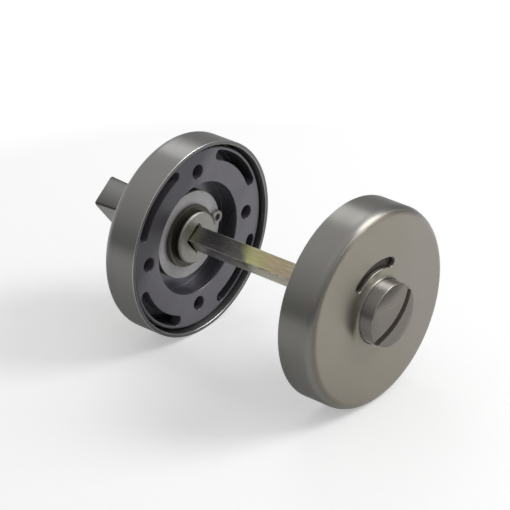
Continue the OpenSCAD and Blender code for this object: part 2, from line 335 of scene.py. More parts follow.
def reckon(tree, operation, *values):
    return put(tree, "ShaderNodeMath", dict(enumerate(values)), operation=operation).outputs[0]


def placeOn(tree):
    return put(tree, "ShaderNodeTexCoord").outputs["Object"]


def split(tree, vector):
    return put(tree, "ShaderNodeSeparateXYZ", {"Vector": vector}).outputs


def lengthOf(tree, vector):
    return put(tree, "ShaderNodeVectorMath", {0: vector}, operation="LENGTH").outputs["Value"]


def grain(tree, stretch, detail):
    # noise whose scale, per metre, differs along the three axes
    spread = put(tree, "ShaderNodeMapping", {"Vector": placeOn(tree), "Scale": stretch})
    return put(tree, "ShaderNodeTexNoise", {"Vector": spread.outputs["Vector"], "Scale": 1.0,
                                            "Detail": detail, "Roughness": 0.6}).outputs["Fac"]


def speckle(tree, scale, detail):
    return grain(tree, (scale,) * 3, detail)


def between(tree, amount, low, high, start=0.3, stop=0.7):
    return put(tree, "ShaderNodeMapRange", {"Value": amount, "From Min": start, "From Max": stop,
                                            "To Min": low, "To Max": high}).outputs["Result"]


def overPlaces(tree, amount, low, high, places):
    # the same between two places in millimetres
    return between(tree, amount, low, high, places[0] * mm, places[1] * mm)


def tones(tree, amount, stops):
    ramp = put(tree, "ShaderNodeValToRGB", {"Fac": amount})
    band = ramp.color_ramp
    while len(band.elements) < len(stops):
        band.elements.new(0.5)
    for element, (place, colour) in zip(band.elements, stops):
        element.position = place
        element.color = (*colour, 1)
    return ramp.outputs["Color"]


def blendColours(tree, amount, first, second):
    mixer = put(tree, "ShaderNodeMix", data_type="RGBA")
    for socket, value in ((0, amount), (6, first), (7, second)):
        if isinstance(value, bpy.types.NodeSocket):
            tree.links.new(value, mixer.inputs[socket])
        else:
            mixer.inputs[socket].default_value = value if socket == 0 else (*value, 1)
    return mixer.outputs[2]


def surface(tree, shader, colour, roughness, height=None, relief=0, cut=0):
    # height is the pattern of the relief, and cut its depth in millimetres
    tree.links.new(colour, shader.inputs["Base Color"])
    tree.links.new(roughness, shader.inputs["Roughness"])
    if relief:
        bump = put(tree, "ShaderNodeBump", {"Height": height, "Strength": relief,
                                            "Distance": cut * mm})
        tree.links.new(bump.outputs["Normal"], shader.inputs["Normal"])


# Brushed steels: the cover's, and others as it with some values changed

brushing = {
    "flatAt": (0.6, 0.85),     # how squarely a face looks along the spindle to count as flat
    "patchScale": 45,          # patches per metre, which push the border of the two tones about
    "patchPush": 20,           # and how far, in millimetres
    "lineAt": (0.5, 0.75),     # the share of the noise from which a brush line shows
    "cut": 0.03,               # depth of the lines in millimetres
}

satinSteelLook = {
    "cool": (0.264, 0.246, 0.206),     # of the flat face
    "warm": (0.277, 0.256, 0.231),
    "warmAt": (6, 17),     # where cool drifts to warm, in millimetres across the face
    "rim": (0.285, 0.281, 0.263),
    "line": (0.225, 0.218, 0.198),
    "fine": 5200,          # lines per metre across the brushing
    "long": 170,
    "depth": 0.16,         # how strongly the brush lines show
    "relief": 0.06,        # and how deep they are cut
    "stretch": 0.8,        # how far the brushing draws highlights out across itself
    "edgeTint": 1.0,
    "gloss": (0.30, 0.40),     # roughness off the lines and on them
}

knobSteelLook = dict(satinSteelLook, cool=(0.200, 0.184, 0.166), warm=(0.208, 0.182, 0.162),
                     warmAt=(0, 8), rim=(0.200, 0.184, 0.166), line=(0.150, 0.136, 0.122),
                     long=260, depth=0.05, relief=0.015, stretch=0.3, edgeTint=0.6,
                     gloss=(0.22, 0.30))
turnSteelLook = dict(knobSteelLook, cool=(0.315, 0.312, 0.300), warm=(0.325, 0.315, 0.300),
                     rim=(0.315, 0.312, 0.302), line=(0.220, 0.216, 0.208), fine=4600,
                     long=240, depth=0.14, relief=0.06, stretch=0.2, edgeTint=0.8,
                     gloss=(0.16, 0.24))
knobSideLook = dict(knobSteelLook, cool=(0.42, 0.405, 0.385), warm=(0.44, 0.410, 0.380),
                    rim=(0.43, 0.408, 0.385), line=(0.30, 0.284, 0.266), depth=0.10,
                    relief=0.02, stretch=1.0, edgeTint=1.0, gloss=(0.35, 0.41))
brushedLooks = {
    "satinSteel": satinSteelLook,
    "innerSteel": dict(satinSteelLook, rim=(0.288, 0.284, 0.277)),
    "cutFace": dict(satinSteelLook, cool=(0.135, 0.134, 0.134), warm=(0.150, 0.147, 0.144),
                    rim=(0.140, 0.138, 0.137), line=(0.100, 0.098, 0.096)),
    "knobSteel": knobSteelLook,
    "knobSide": knobSideLook,
    # the rim's rounded edge, painted far brighter than the face: a painted highlight
    "cutEdgeHighlight": dict(knobSideLook, cool=(0.70, 0.695, 0.690), warm=(0.70, 0.692, 0.684),
                    rim=(0.70, 0.695, 0.690), stretch=0.9, gloss=(0.26, 0.38)),
    "turnSteel": turnSteelLook,
    # the wing's rounded edges, painted dark as painted shade
    "turnEdgeShade": dict(turnSteelLook, cool=(0.090, 0.088, 0.084), warm=(0.100, 0.094, 0.088),
                     rim=(0.090, 0.088, 0.084), line=(0.060, 0.058, 0.054), gloss=(0.3, 0.4)),
}


def flatShare(tree):
    # 1 on what faces along the spindle, 0 on what goes round it
    facing = split(tree, put(tree, "ShaderNodeTexCoord").outputs["Normal"])["Y"]
    return between(tree, reckon(tree, "ABSOLUTE", facing), 0, 1, *brushing["flatAt"])


def brushLines(tree, isFlat, fine, long):
    # straight across the flat face, and round the rim where the surface turns away
    onFace = grain(tree, (long, long, fine), 3)
    onRim = grain(tree, (long, fine, long), 3)
    return put(tree, "ShaderNodeMix", {0: isFlat, 2: onRim, 3: onFace},
               data_type="FLOAT").outputs[0]


def brushedSteel(name, look):
    finish, tree, shader = newFinish(name, metallic=1.0)
    shader.inputs["Anisotropic"].default_value = look["stretch"]
    shader.inputs["Anisotropic Rotation"].default_value = 0.25
    shader.inputs["Specular Tint"].default_value = (look["edgeTint"],) * 3 + (1,)
    isFlat = flatShare(tree)
    around = put(tree, "ShaderNodeTangent", direction_type="RADIAL", axis="Y").outputs[0]
    along = put(tree, "ShaderNodeMix", {0: isFlat, 4: around, 5: (1, 0, 0)},
                data_type="VECTOR").outputs[1]
    tree.links.new(along, shader.inputs["Tangent"])
    push = brushing["patchPush"]
    patch = speckle(tree, brushing["patchScale"], 1.5)
    wander = reckon(tree, "MULTIPLY_ADD", patch, push * mm, split(tree, placeOn(tree))["X"])
    warmth = overPlaces(tree, wander, 0, 1, [place + push / 2 for place in look["warmAt"]])
    face = blendColours(tree, warmth, look["cool"], look["warm"])
    base = blendColours(tree, isFlat, look["rim"], face)
    lines = brushLines(tree, isFlat, look["fine"], look["long"])
    depth = between(tree, lines, 0, look["depth"], *brushing["lineAt"])
    surface(tree, shader, blendColours(tree, depth, base, look["line"]),
            between(tree, lines, *look["gloss"]), lines, look["relief"], brushing["cut"])
    return finish


wingEndLook = {
    # painted shade of the wing's ends
    "endShade": (0.130, 0.128, 0.124),
    "fadeAt": (-3.6, 1.6),       # painted shade fading out, in millimetres across the wing's end
    "borderAt": (3.0, 3.7),      # and part of the way back to the painted shade
    "borderShare": 0.6,
}


def wingEndSteel():
    # the narrow ends of the wing, with painted shade that darkens them towards their borders
    look = wingEndLook
    finish = brushedSteel("wingEnd", turnSteelLook)
    tree = finish.node_tree
    colour = tree.nodes["Principled BSDF"].inputs["Base Color"]
    unshaded = colour.links[0].from_socket
    turned = math.radians(rose["rotorTurn"])
    across = put(tree, "ShaderNodeVectorMath",
                 {0: placeOn(tree), 1: (math.cos(turned), 0, math.sin(turned))},
                 operation="DOT_PRODUCT").outputs["Value"]
    endShade = reckon(tree, "MAXIMUM", overPlaces(tree, across, 1, 0, look["fadeAt"]),
                  overPlaces(tree, across, 0, look["borderShare"], look["borderAt"]))
    tree.links.new(blendColours(tree, endShade, unshaded, look["endShade"]), colour)
    return finish


# Plain finishes, whose tone, gloss and relief all come from one speckle

skinLook = {     # raw surface of a pressing where nothing has rubbed it
    "low": (0.36, 0.34, 0.37),
    "high": (0.46, 0.44, 0.47),
    "metallic": 0.0,
    "specular": 0.5,
    "scale": 900,      # specks per metre
    "detail": 3,
    "gloss": (0.55, 0.70),
    "relief": 0.15,    # how strongly the specks stand out, not at all at 0
    "cut": 0.02,       # and how far, in millimetres
}

nylonLook = dict(skinLook, low=(0.62, 0.61, 0.57), high=(0.70, 0.69, 0.65),
                 scale=1500, detail=2, gloss=(0.37, 0.50), relief=0.1, cut=0.01)
speckedLooks = {
    "pressedSteel": skinLook,
    # the walls of the plate's openings, painted dark: partly the casting's raw skin, partly painted
    # shade
    "castSkinAndShade": dict(skinLook, low=(0.064, 0.057, 0.070), high=(0.094, 0.084, 0.102)),
    "hubSteel": dict(skinLook, low=(0.24, 0.235, 0.212), high=(0.40, 0.395, 0.365), metallic=1.0,
                     scale=2400, detail=2, gloss=(0.42, 0.60), relief=0.3, cut=0.03),
    # the coin slot is painted dark, as painted shade inside the slot
    "slotShade": dict(skinLook, low=(0.110, 0.094, 0.082), high=(0.165, 0.142, 0.122),
                      specular=0.15, scale=1400, gloss=(0.45, 0.60), relief=0),
    "whiteNylon": nylonLook,
    "discBlack": dict(nylonLook, low=(0.036, 0.028, 0.021), high=(0.055, 0.042, 0.031),
                      gloss=(0.45, 0.58)),
    "markerRed": dict(nylonLook, low=(0.42, 0.02, 0.018), high=(0.50, 0.03, 0.025),
                      gloss=(0.35, 0.48)),
}


def specked(name, look):
    finish, tree, shader = newFinish(name, look["metallic"])
    shader.inputs["Specular IOR Level"].default_value = look["specular"]
    fleck = speckle(tree, look["scale"], look["detail"])
    surface(tree, shader, tones(tree, fleck, [(0.3, look["low"]), (0.7, look["high"])]),
            between(tree, fleck, *look["gloss"]), fleck, look["relief"], look["cut"])
    return finish


# Finishes with a pattern of their own

castGreyLook = {
    "patches": [(0.3, (0.118, 0.113, 0.130)), (0.5, (0.142, 0.137, 0.155)),
                (0.7, (0.160, 0.155, 0.172))],
    "fleck": (0.090, 0.086, 0.098),
    "fleckShare": 0.10,
    # painted shade, blended in towards the camera's upper left
    "paintedShade": (0.030, 0.028, 0.033),
    "paintedShadeShare": 0.6,
    "paintedShadeAt": (14, 21),     # millimetres towards +z and -x, the camera's upper left, where the painted shade darkens the casting
    "gloss": (0.24, 0.34),
}


def castGrey():
    # the casting's patchy tone, with painted shade that darkens it towards +z and -x
    look = castGreyLook
    finish, tree, shader = newFinish("castGrey", metallic=0.7)
    patch = speckle(tree, 55, 2.5)
    fleck = speckle(tree, 2600, 2)
    colour = blendColours(tree, between(tree, fleck, 0, look["fleckShare"], 0.5, 0.75),
                          tones(tree, patch, look["patches"]), look["fleck"])
    place = split(tree, placeOn(tree))
    aside = reckon(tree, "SUBTRACT", place["Z"], place["X"])
    paintedShade = overPlaces(tree, aside, 0, look["paintedShadeShare"], look["paintedShadeAt"])
    surface(tree, shader, blendColours(tree, paintedShade, colour, look["paintedShade"]),
            between(tree, patch, *look["gloss"]), fleck, 0.05, 0.01)
    return finish


washerGreyLook = {
    "patches": [(0.3, (0.42, 0.41, 0.415)), (0.7, (0.50, 0.49, 0.495))],
    "fleck": (0.28, 0.272, 0.275),
    "fleckShare": 0.3,
    "gloss": (0.50, 0.65),
}


def washerGrey():
    look = washerGreyLook
    finish, tree, shader = newFinish("washerGrey", metallic=0.6)
    fleck = speckle(tree, 3200, 3)
    patch = speckle(tree, 160, 2)
    colour = blendColours(tree, between(tree, fleck, 0, look["fleckShare"], 0.45, 0.7),
                          tones(tree, patch, look["patches"]), look["fleck"])
    surface(tree, shader, colour, between(tree, fleck, *look["gloss"]), fleck, 0.2, 0.02)
    return finish


springSteelLook = {
    "rings": [(0.36, (0.050, 0.047, 0.038)), (0.54, (0.100, 0.095, 0.078)),
              (0.68, (0.220, 0.210, 0.180))],
    "ringScale": 3400,
    "ears": (0.280, 0.275, 0.260),
    "earsAt": (8.6, 9.3),     # brighter past this reach, in millimetres from the shaft's axis
    "gloss": (0.34, 0.50),
}


def springSteel():
    # fine rings left by grinding, light on dark, round the shaft
    look = springSteelLook
    finish, tree, shader = newFinish("springSteel", metallic=0.9)
    place = split(tree, placeOn(tree))
    flat = put(tree, "ShaderNodeCombineXYZ", {"X": place["X"], "Z": place["Z"]}).outputs[0]
    reach = lengthOf(tree, flat)
    spread = put(tree, "ShaderNodeCombineXYZ", {"X": reach, "Y": place["Y"]}).outputs[0]
    rings = put(tree, "ShaderNodeTexNoise", {"Vector": spread, "Scale": look["ringScale"],
                                             "Detail": 2.0}).outputs["Fac"]
    ears = overPlaces(tree, reach, 0, 1, look["earsAt"])
    colour = blendColours(tree, ears, tones(tree, rings, look["rings"]), look["ears"])
    surface(tree, shader, colour, between(tree, rings, *look["gloss"]), rings, 0.3, 0.02)
    return finish


yellowZincLook = {
    "lean": -0.9,            # the borders of the film's tones lie aslant on the bar's sides
    "cloudPush": 6,          # and clouds push them about, in millimetres
    "driftAt": (3, 53),      # where the two rows of tones begin and end along the bar
    "topAt": (0.4, 1.0),     # height above the axis where the lower row gives way to the upper
    "onTop": [(0.00, (0.40, 0.37, 0.27)), (0.22, (0.42, 0.36, 0.25)), (0.40, (0.46, 0.37, 0.24)),
              (0.50, (0.49, 0.45, 0.235)), (0.60, (0.66, 0.67, 0.32)), (0.645, (0.26, 0.25, 0.235)),
              (0.88, (0.22, 0.21, 0.23)), (0.94, (0.30, 0.29, 0.20))],
    "below": [(0.00, (0.38, 0.35, 0.27)), (0.28, (0.30, 0.26, 0.19)), (0.50, (0.28, 0.26, 0.17)),
              (0.576, (0.245, 0.238, 0.155)), (0.646, (0.20, 0.195, 0.150)),
              (0.716, (0.38, 0.37, 0.33)), (0.80, (0.52, 0.505, 0.505)), (0.86, (0.76, 0.74, 0.74)),
              (0.93, (0.74, 0.72, 0.71)), (0.97, (0.42, 0.41, 0.34))],
    "drawn": (0.22, 0.20, 0.16),       # the die's lines
    "scratch": (0.66, 0.64, 0.58),
    "socketShade": (0.03, 0.028, 0.022),    # painted shade where the bar sinks into the turn's socket
    "gloss": (0.16, 0.30),
    "rubbed": 0.14,                    # rougher by this where the film is thin
    "rubbedAt": (0.60, 0.68),
}


def yellowZinc():
    # the film's colour drifts from tan to green on the way to the turn's hub, where it is thin; the
    # upper and lower faces take separate rows of tones, partly the film's own colour and partly
    # painted light and shade
    look = yellowZincLook
    finish, tree, shader = newFinish("yellowZinc", metallic=1.0)
    cloud = grain(tree, (220, 110, 220), 2.5)
    place = split(tree, placeOn(tree))
    leaning = reckon(tree, "MULTIPLY_ADD", place["Z"], look["lean"], place["Y"])
    wander = reckon(tree, "MULTIPLY_ADD", cloud, look["cloudPush"] * mm, leaning)
    drift = overPlaces(tree, wander, 0, 1, look["driftAt"])
    # the rows of the lower and upper faces, partly painted light and shade
    colour = blendColours(tree, overPlaces(tree, place["Z"], 0, 1, look["topAt"]),
                          tones(tree, drift, look["below"]), tones(tree, drift, look["onTop"]))
    drawn = grain(tree, (2400, 70, 2400), 3)
    colour = blendColours(tree, between(tree, drawn, 0, 0.35, 0.5, 0.75), colour, look["drawn"])
    scratch = grain(tree, (5200, 240, 5200), 2)
    colour = blendColours(tree, between(tree, scratch, 0, 0.7, 0.58, 0.70), colour, look["scratch"])
    # painted shade on the bar inside the turn's hub
    hubFace = insideFace + hubEnd
    sunk = overPlaces(tree, place["Y"], 0, 1, (hubFace - 0.1, hubFace + 0.1))
    colour = blendColours(tree, sunk, colour, look["socketShade"])
    rubbed = between(tree, drift, 0, look["rubbed"], *look["rubbedAt"])
    dullness = reckon(tree, "ADD", between(tree, drawn, *look["gloss"]), rubbed)
    surface(tree, shader, colour, dullness, scratch, 0.25, 0.02)
    return finish


wornEdgeLook = {
    "stops": [(0.38, (0.22, 0.21, 0.17)), (0.58, (0.80, 0.78, 0.70))],
    "gloss": (0.28, 0.18),
}


def wornEdge():
    # the bar's broken edges, rubbed pale
    finish, tree, shader = newFinish("wornEdge", metallic=0.5)
    rub = grain(tree, (900, 220, 900), 3)
    surface(tree, shader, tones(tree, rub, wornEdgeLook["stops"]),
            between(tree, rub, *wornEdgeLook["gloss"]))
    return finish


finishes = {name: brushedSteel(name, look) for name, look in brushedLooks.items()}
finishes.update((name, specked(name, look)) for name, look in speckedLooks.items())
for finish in (wingEndSteel(), castGrey(), washerGrey(), springSteel(), yellowZinc(), wornEdge()):
    finishes[finish.name] = finish
print("finishes made:", len(finishes))


# Covers: outer skin up from the rim, over the collar, back down inside

cover = {
    "rimRounding": 0.16,
    "lip": 0.12,           # what is left of the sheet at the collar's top
    "lipRounding": 0.04,
    "beadDepth": 0.2,
    "beadLow": 3.9,
    "beadHigh": 5.8,
    "beadSlope": 0.4,
    "boreRounding": 0.9,   # inside, where the collar leaves the face
    "windowWidth": 2.6,
    "windowSpan": 61.5,
    "windowLand": 0.5,
    "windowEdge": 0.26,
}


def coverOutline():
    wall = rose["coverWall"]
    skin = [(coverInside, rimHeight, cover["rimRounding"]),
            (rose["radius"], rimHeight, cover["rimRounding"]),
            (rose["radius"], faceHeight, rose["edgeRadius"])]
    sweep = rose["collarFoot"] - rose["collarBore"] - cover["lip"]
    hollow = []
    for k in range(17):     # the collar rises from the face in a hollow curve
        a = math.pi / 2 * k / 16
        hollow.append((rose["collarFoot"] - sweep * math.sin(a),
                       faceHeight + rose["collarHeight"] * (1 - math.cos(a)), 0))
    hollow[-1] = (*hollow[-1][:2], cover["lipRounding"])
    under = [(rose["collarBore"], lipHeight, cover["lipRounding"]),
             (rose["collarBore"], faceHeight - wall, cover["boreRounding"]),
             (coverInside, faceHeight - wall, rose["edgeRadius"] - wall),
             (coverInside, cover["beadHigh"], 0),
             (coverInside + cover["beadDepth"], cover["beadHigh"] - cover["beadSlope"], 0),
             (coverInside + cover["beadDepth"], cover["beadLow"] + cover["beadSlope"], 0),
             (coverInside, cover["beadLow"], 0)]
    return skin + hollow + under


plainCover = lathe("insideCover", eased(coverOutline()), steps=216)
windowCover = copyOf(plainCover, "outsideCover")
windowRadius = rose["collarFoot"] + cover["windowLand"] + cover["windowWidth"] / 2
window = roundSlot(windowRadius, cover["windowWidth"], cover["windowSpan"], 90 + rose["windowTurn"])
merge(windowCover, slab("windowTool", window, faceHeight - 3, faceHeight + 3))
joinFlats(windowCover)


def onWindowEdge(edge):
    nearby = reachOf(middleOf(edge)) < windowRadius + cover["windowWidth"]
    return isSharp(edge, 60) and liesAt(edge, faceHeight) and nearby


breakEdges(windowCover, onWindowEdge, cover["windowEdge"], 3)


def coverShare(face):
    # 1 is the rim's rounded edge, painted bright as a painted highlight, 2 the matte inside past
    # the bead, 3 the rim's cut face
    reach = reachOf(face.center)
    outward = (face.center.x * face.normal.x + face.center.y * face.normal.y) / mm
    if face.center.z / mm < rimHeight + cover["rimRounding"]:
        return 3 if face.normal.z < -0.95 else 1
    facesIn = outward < -0.5 * reach or face.normal.z < -0.5
    deep = face.center.z / mm > cover["beadHigh"]
    return 2 if facesIn and deep and reach > rose["collarFoot"] else 0


for piece, side, steel in ((windowCover, "outside", "satinSteel"),
                           (plainCover, "inside", "innerSteel")):
    smoothOff(piece)
    paint(piece, (steel, "cutEdgeHighlight", "pressedSteel", "cutFace"), coverShare)
    fit(piece, side, side + "_rose", "satin_steel", side + "_cover")
print("covers made")


# Base plates: flat web with its recess, four holes and four arched slots

plate = {
    "radius": coverInside - 0.8,     # leaves room for the snap ring
    "web": 3.0,
    "webRounding": 0.3,
    "flange": 1.3,
    "flangeRounding": 0.1,
    "shoulder": (0.7, 0.75),         # bevel under the cover's rounded edge, across and down
    "grooveLow": 4.1,
    "grooveHigh": 5.65,
    "grooveRadius": 24.3,
    "cupRadius": 15.2,
    "cupWall": 1.6,
    "cupRounding": 0.4,
    "floorLow": 5.05,
    "floorHigh": 6.75,
    "floorRounding": 0.12,
    "boreRadius": 8.02,
    "boreRounding": 0.1,
    "edge": 0.25,
    "border": 0.65,                  # rounding of its outer border
    "holeRadius": 1.9,
    "holeCircle": 19.0,
    "holeTop": 6,                    # how high its cutter reaches
    "slotWidth": 2.7,
    "slotSpan": 45,
    "slotLand": 1.0,
    "slotTop": 6.2,
}


def plateOutline():
    top = faceHeight - rose["coverWall"]
    border, groove = plate["radius"], plate["grooveRadius"]
    flangeIn = border - plate["flange"]
    cupOut = plate["cupRadius"] + plate["cupWall"]
    across, down = plate["shoulder"]
    return [(plate["cupRadius"], 0, plate["edge"]), (border, 0, plate["border"]),
            (border, plate["grooveLow"], 0), (groove, plate["grooveLow"], 0),
            (groove, plate["grooveHigh"], 0), (border, plate["grooveHigh"], 0),
            (border, top - down, 0), (border - across, top, 0),
            (flangeIn, top, plate["flangeRounding"]),
            (flangeIn, plate["web"], plate["webRounding"]),
            (cupOut, plate["web"], plate["webRounding"]),
            (cupOut, plate["floorHigh"], plate["cupRounding"]),
            (plate["boreRadius"], plate["floorHigh"], plate["boreRounding"]),
            (plate["boreRadius"], plate["floorLow"], plate["boreRounding"]),
            (plate["cupRadius"], plate["floorLow"], plate["floorRounding"])]


basePlate = lathe("insidePlate", eased(plateOutline()), steps=180)
slotRadius = plate["radius"] - plate["slotLand"] - plate["slotWidth"] / 2
slotOutline = roundSlot(slotRadius, plate["slotWidth"], plate["slotSpan"], 45)
# each hole is such a slot too, of almost no length
holeOutline = roundSlot(plate["holeCircle"], 2 * plate["holeRadius"], 0.02, 0, 1)
slotTool = slab("slotTool", slotOutline, -2, plate["slotTop"])
holeTool = slab("holeTool", holeOutline, -2, plate["holeTop"])
for quarter in range(4):
    for tool in (slotTool, holeTool):
        merge(basePlate, turnBy(copyOf(tool, "tool"), 90 * quarter))
bpy.data.objects.remove(slotTool)
bpy.data.objects.remove(holeTool)
joinFlats(basePlate)


def onPlateOpening(edge):
    reach = [reachOf(v.co) for v in edge.verts]
    clear = max(reach) < plate["radius"] - 0.5 and min(reach) > plate["cupRadius"] + 0.6
    return isSharp(edge, 60) and clear and liesAt(edge, 0)


def inPlateOpening(face):
    reach = reachOf(face.center)
    inWeb = plate["edge"] < face.center.z / mm < plate["web"] and abs(face.normal.z) < 0.5
    return inWeb and plate["cupRadius"] + 1 < reach < plate["radius"] - 0.5


breakEdges(basePlate, onPlateOpening, plate["edge"], 3)
smoothOff(basePlate)
outsidePlate = copyOf(basePlate, "outsidePlate")
for piece, side in ((basePlate, "inside"), (outsidePlate, "outside")):
    # the walls of the openings get the dark skin with painted shade
    paint(piece, ("castGrey", "castSkinAndShade"), inPlateOpening)
    fit(piece, side, side + "_rose", "cast_plate", side + "_base_plate")
print("base plates made")


# Hubs with their grooves and square sockets, shared by the knob and the thumb turn

hub = {
    "nose": 0.4,
    "noseEdge": 0.12,
    "groovePlay": 0.05,
    "shoulderEdge": 0.15,
    "mouth": 0.35,      # lead-in of the square socket
}


def hubCorners(top):
    groove = (clipLow - hub["groovePlay"], clipHigh + hub["groovePlay"])
    return [(0, hubEnd, 0), (rose["hubRadius"] - hub["nose"], hubEnd, hub["noseEdge"]),
            (rose["hubRadius"], hubEnd + hub["nose"], hub["noseEdge"]),
            (rose["hubRadius"], groove[0], 0), (rose["grooveRadius"], groove[0], 0),
            (rose["grooveRadius"], groove[1], 0), (rose["hubRadius"], groove[1], 0),
            (rose["hubRadius"], top, 0)]


def onHub(face):
    return face.center.z / mm < washerHigh


def hubShare(face):
    # the hub's end is bare steel, its side is painted with the circlip's dark finish, as painted
    # shade round the circlip
    return 1 if face.normal.z < -0.3 else 4


def socketTool(depth, turn):
    # square plug whose foot widens to cut the socket's lead-in
    tool = block("socketTool", (rose["socket"], rose["socket"], depth + 1),
                 (0, 0, hubEnd + (depth - 1) / 2))
    openUp(tool)
    choose("FACE", lambda face: face.normal.z < -0.9)
    bpy.ops.transform.translate(value=(0, 0, (1 + hub["mouth"]) * mm))
    bpy.ops.mesh.extrude_region_move(TRANSFORM_OT_translate={"value": (0, 0, -hub["mouth"] * mm)})
    wide = 1 + 2 * hub["mouth"] / rose["socket"]
    bpy.ops.transform.resize(value=(wide, wide, 1))
    bpy.ops.mesh.extrude_region_move(TRANSFORM_OT_translate={"value": (0, 0, -1 * mm)})
    closeUp()
    return turnBy(tool, turn)


# Release knob: hub, neck and domed head with its coin slot

knob = {
    "rise": 4.3,
    "rimEdge": 0.22,
    "rimSlope": (0.3, 0.88),     # how far up the faces of the rounded rim look
    "slotWidth": 1.9,
    "slotDepth": 0.8,            # below the knob's rim
    "slotEdge": 0.08,
    "socketDepth": 11,
    "keyHalf": 6.0,              # from the axis to each flat that keys the disc
}
knobRim = faceHeight + knob["rise"]
slotFloor = knobRim - knob["slotDepth"]


def knobCorners():
    dome = domeTop - knobRim
    bow = (rose["knobRadius"] ** 2 + dome ** 2) / (2 * dome)
    corners = hubCorners(discHigh) + [(rose["knobRadius"], discHigh, hub["shoulderEdge"]),
                                      (rose["knobRadius"], knobRim, knob["rimEdge"])]
    for k in range(1, 19):     # the dome, from the rim to its middle
        across = rose["knobRadius"] * (1 - k / 18)
        corners.append((across, domeTop - bow + math.sqrt(bow ** 2 - across ** 2), 0))
    return corners


releaseKnob = lathe("releaseKnob", eased(knobCorners(), closed=False), steps=144)
# the cutter reaches past the dome on every side but the slot's own
coinTool = block("coinTool", (30, knob["slotWidth"], 8), (0, 0, slotFloor + 4))
merge(releaseKnob, turnBy(coinTool, rose["rotorTurn"]))


def inSlotBand(point, margin):
    # within half the slot's width of its middle line, and a margin more
    angle = math.radians(rose["rotorTurn"])
    aside = abs(point.y * math.cos(angle) - point.x * math.sin(angle)) / mm
    return aside < knob["slotWidth"] / 2 + margin


def onCoinSlot(edge):
    middle = middleOf(edge)
    return isSharp(edge, 45) and middle.z / mm > slotFloor + hair and inSlotBand(middle, 0.05)


breakEdges(releaseKnob, onCoinSlot, knob["slotEdge"])
merge(releaseKnob, socketTool(knob["socketDepth"], rose["rotorTurn"]))
for side in (-1, 1):
    flat = block("keyTool", (2, 16, discHigh - discLow),
                 (side * (knob["keyHalf"] + 1), 0, (discHigh + discLow) / 2))
    merge(releaseKnob, turnBy(flat, rose["rotorTurn"]))
smoothOff(releaseKnob)


def knobShare(face):
    # 2 is the coin slot, painted dark as painted shade, 3 the side with the rounded rim
    height = face.center.z / mm
    if onHub(face):
        return hubShare(face)
    if height > slotFloor - hair and inSlotBand(face.center, 0.01):
        return 2
    onSide = abs(face.normal.z) < knob["rimSlope"][0] and height < knobRim
    outside = reachOf(face.center) > rose["knobRadius"] - knob["rimEdge"] - 0.05
    onRim = knob["rimSlope"][0] < face.normal.z < knob["rimSlope"][1] and outside
    return 3 if onSide or onRim else 0


paint(releaseKnob, ("knobSteel", "hubSteel", "slotShade", "knobSide", "springSteel"), knobShare)
fit(releaseKnob, "outside", "release", "turned_steel", "release_knob")
print("release knob made")


# Thumb turn: the same hub with a neck, and a waisted wing on it

turn = {
    "neckRise": 5.5,
    "neckEdge": 0.6,
    "wingLength": 18.5,
    "wingEnd": 8.8,
    "wingWaist": 8.0,
    "waistAt": 0.3,
    "rootFlare": 0.5,
    "rootDepth": 1.0,
    "wingCorner": 1.8,
    "wingEdge": 0.7,
    "socketDepth": 14,
    "grubRadius": 2.01,
    "grubFrom": 2,        # its hole's two ends, from the turn's axis
    "grubTo": 10,
    "grubBelow": 2.8,     # the hole's axis under the neck's top
    "wingFoot": 0.5,      # above the neck's top, where the wing's own finishes begin
}
insideTurn = 180 - rose["rotorTurn"]
neckTop = faceHeight + turn["neckRise"]
wingHeight = wingTop - neckTop


def wingHalf(share):
    waist = turn["wingWaist"] / 2
    if share < turn["waistAt"]:
        return waist + turn["rootFlare"] * (1 - share / turn["waistAt"]) ** 2
    swell = ((share - turn["waistAt"]) / (1 - turn["waistAt"])) ** 1.6
    return waist + (turn["wingEnd"] / 2 - waist) * swell


def onWingCorner(edge):
    first, last = edge.verts
    return liesAt(edge, wingTop) and abs(first.co.x - last.co.x) < 0.1 * mm


def makeWing():
    side = [(wingHalf(k / 16), neckTop + wingHeight * k / 16) for k in range(1, 17)]
    root = [(wingHalf(0), neckTop - turn["rootDepth"])]
    right = root + side
    outline = right + [(-across, up) for across, up in reversed(right)]
    wing = slab("wing", outline + outline[:1], -turn["wingLength"] / 2, turn["wingLength"] / 2,
                lambda a, b, c: (c, a, b))
    breakEdges(wing, onWingCorner, turn["wingCorner"], 6)
    foot = neckTop - turn["rootDepth"]
    breakEdges(wing, lambda edge: isSharp(edge, 40) and not liesAt(edge, foot), turn["wingEdge"], 4)
    return turnBy(wing, insideTurn + 90)


def turnShare(face):
    # 2 is the wing's rounded edges, aslant to its own three directions, painted dark as painted
    # shade, 3 its narrow ends, with painted shade towards their borders
    if onHub(face):
        return hubShare(face)
    if face.center.z / mm <= neckTop + turn["wingFoot"]:
        return 0
    own = Matrix.Rotation(-math.radians(insideTurn + 90), 3, "Z") @ face.normal
    return 2 if max(abs(value) for value in own) < 0.94 else 3 if abs(own.x) > 0.96 else 0


